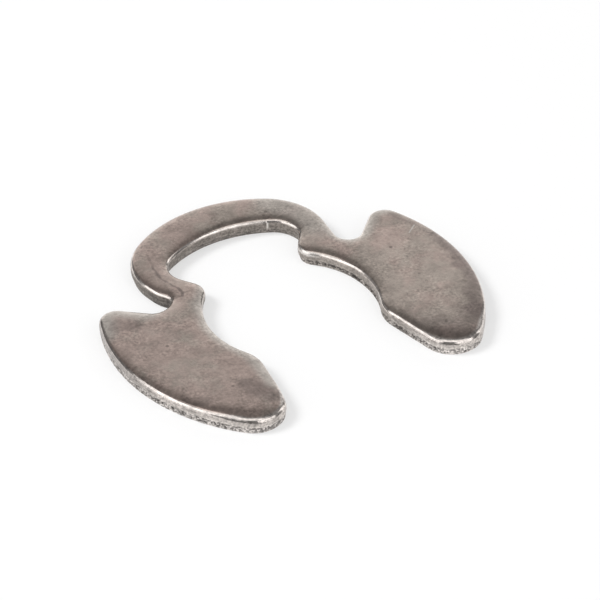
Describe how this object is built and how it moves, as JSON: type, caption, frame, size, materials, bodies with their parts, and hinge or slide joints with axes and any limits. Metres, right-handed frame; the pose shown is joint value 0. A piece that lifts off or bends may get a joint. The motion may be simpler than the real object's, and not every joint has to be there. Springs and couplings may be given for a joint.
{
  "type": "retaining ring",
  "caption": "Flat open retaining ring with a tapered bow and two broad lobes; pushed onto a shaft from the side, it snaps into a groove and makes a shoulder there.",
  "frame": {"origin": "on the shaft axis, the centre of the seat arcs, at the ring's underside (the burr side)", "axes": "+Z along the shaft, out of the face with the rolled edge; +Y towards the bow's crown; -Y out of the mouth; X across the two lobes"},
  "size_m": [0.0218, 0.019, 0.0011],
  "materials": {
    "spring_steel": "tumbled and hardened spring steel, satin brown-grey faces, bright rolled rim, grainy cut edge"
  },
  "bodies": {
    "root": {"retaining_ring": "spring_steel"}
  },
  "joints": []
}
